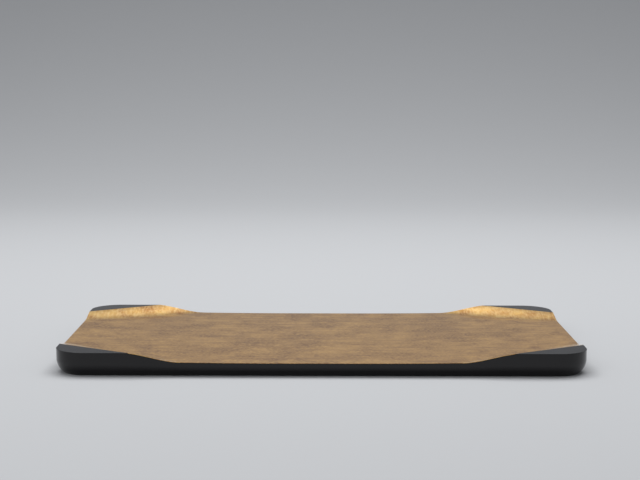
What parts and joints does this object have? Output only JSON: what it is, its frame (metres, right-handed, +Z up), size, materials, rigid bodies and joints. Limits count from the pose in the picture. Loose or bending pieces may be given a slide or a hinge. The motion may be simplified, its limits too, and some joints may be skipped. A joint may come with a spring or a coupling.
{
  "type": "lacquer dish",
  "caption": "Long low lacquer dish with a gold field, black walls that curl under to a flat foot, and raised triangular corners falling in gilt coves.",
  "frame": {"origin": "centre of the flat underside, on the surface the dish stands on", "axes": "+X along the long side, +Y towards the rear long side, +Z up"},
  "size_m": [0.4, 0.225, 0.018],
  "materials": {
    "black_lacquer": "gloss",
    "gold_ground": "satin",
    "gold_leaf": "gloss",
    "wood": "matte",
    "cloth": "matte"
  },
  "bodies": {
    "root": {"core_board": "wood", "corner_block_front_left": "wood", "corner_block_front_right": "wood", "corner_block_rear_left": "wood", "corner_block_rear_right": "wood", "cloth_under": "cloth", "cloth_top": "cloth", "black_lacquer": "black_lacquer", "gold_field": "gold_ground", "corner_gilding_front_left": "gold_leaf", "corner_gilding_front_right": "gold_leaf", "corner_gilding_rear_left": "gold_leaf", "corner_gilding_rear_right": "gold_leaf"}
  },
  "joints": []
}
